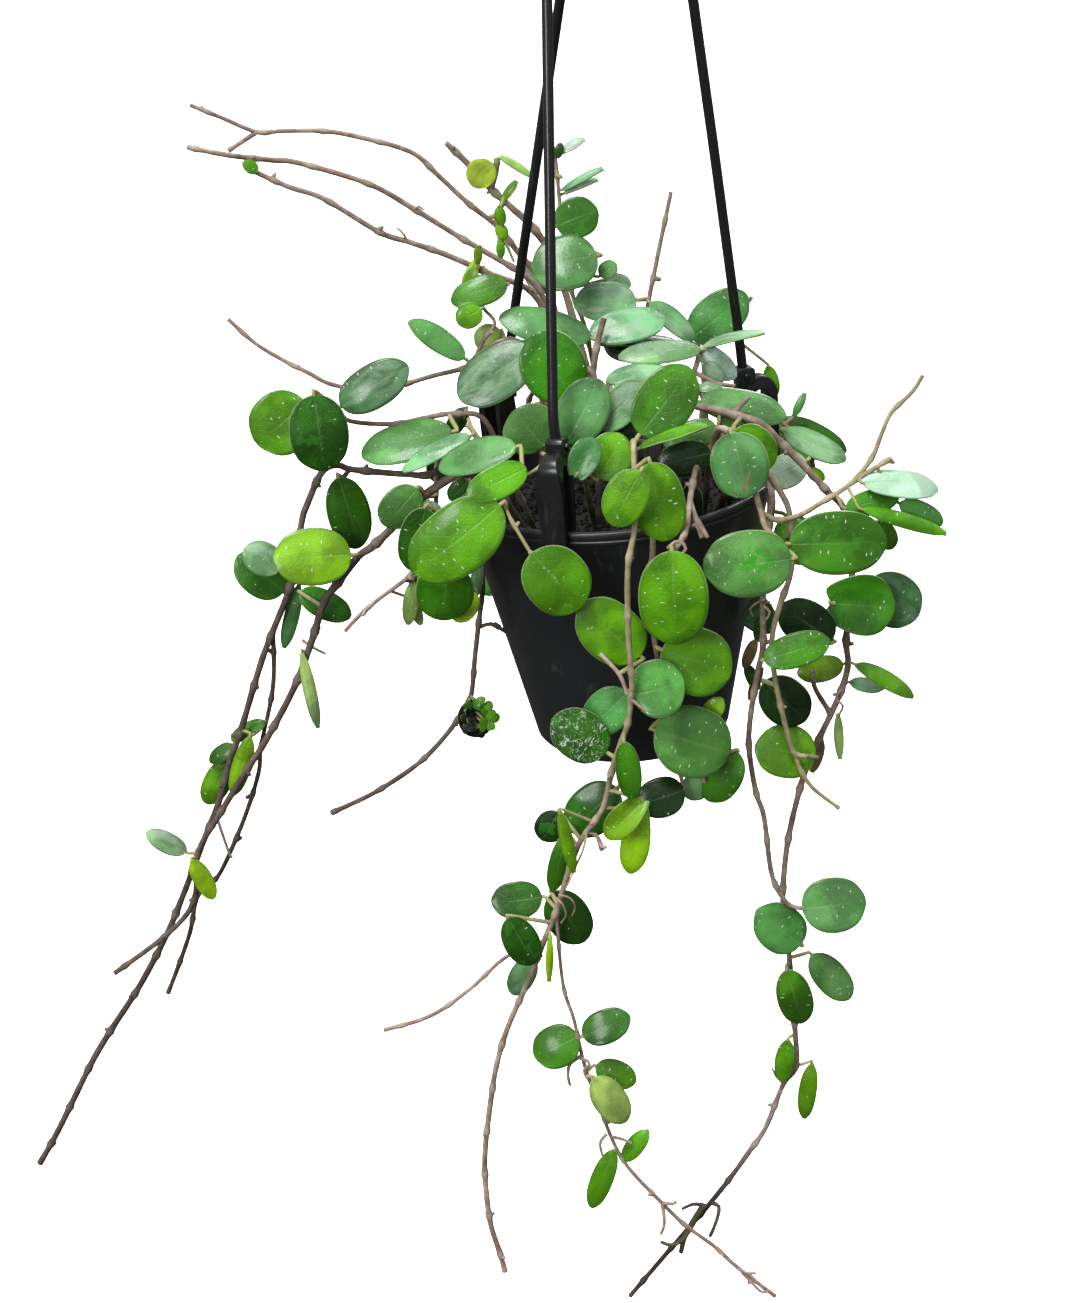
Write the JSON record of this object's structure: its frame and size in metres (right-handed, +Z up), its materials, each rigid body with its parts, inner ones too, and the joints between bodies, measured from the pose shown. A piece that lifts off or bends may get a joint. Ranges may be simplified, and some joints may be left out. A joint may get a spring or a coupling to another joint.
{
  "type": "potted hanging plant",
  "caption": "Trailing hoya with fleshy oval leaves on woody stems in a tapered black pot, hung by thin rods with rim clips under a hook.",
  "frame": {"origin": "inner top of the hook's crook, the point that bears on what it hangs from", "axes": "+Z up, -Y towards the side seen in the picture, +X to the right in the picture"},
  "size_m": [0.4663, 0.208, 0.7859],
  "materials": {
    "foliage": "fleshy satin leaves with silver flecks on grey-brown woody stems",
    "pot_plastic": "black, satin, lightly scuffed",
    "rod_plastic": "black, smooth satin",
    "mix": "dark damp potting mix, coarse"
  },
  "bodies": {
    "root": {"clip_front": "pot_plastic", "clip_rear": "pot_plastic", "clip_right": "pot_plastic", "hanger_hook": "pot_plastic", "pot": "pot_plastic", "potting_mix": "mix", "rod_front": "rod_plastic", "rod_rear": "rod_plastic", "rod_right": "rod_plastic", "vine_crown_front": "foliage", "vine_crown_left": "foliage", "vine_crown_mid": "foliage", "vine_crown_rear": "foliage", "vine_crown_right": "foliage", "vine_cut_shoot": "foliage", "vine_front_knot": "foliage", "vine_front_left": "foliage", "vine_front_main": "foliage", "vine_front_second": "foliage", "vine_high_a": "foliage", "vine_high_b": "foliage", "vine_high_c": "foliage", "vine_left_bare": "foliage", "vine_left_long": "foliage", "vine_left_low": "foliage", "vine_left_pair": "foliage", "vine_left_under": "foliage", "vine_rear_1": "foliage", "vine_rear_2": "foliage", "vine_rear_3": "foliage", "vine_rear_4": "foliage", "vine_rear_5": "foliage", "vine_right_crown": "foliage", "vine_right_far": "foliage", "vine_right_hang": "foliage", "vine_right_mid": "foliage", "vine_right_up": "foliage", "vine_thin_hanging": "foliage", "vine_upright": "foliage"}
  },
  "joints": []
}
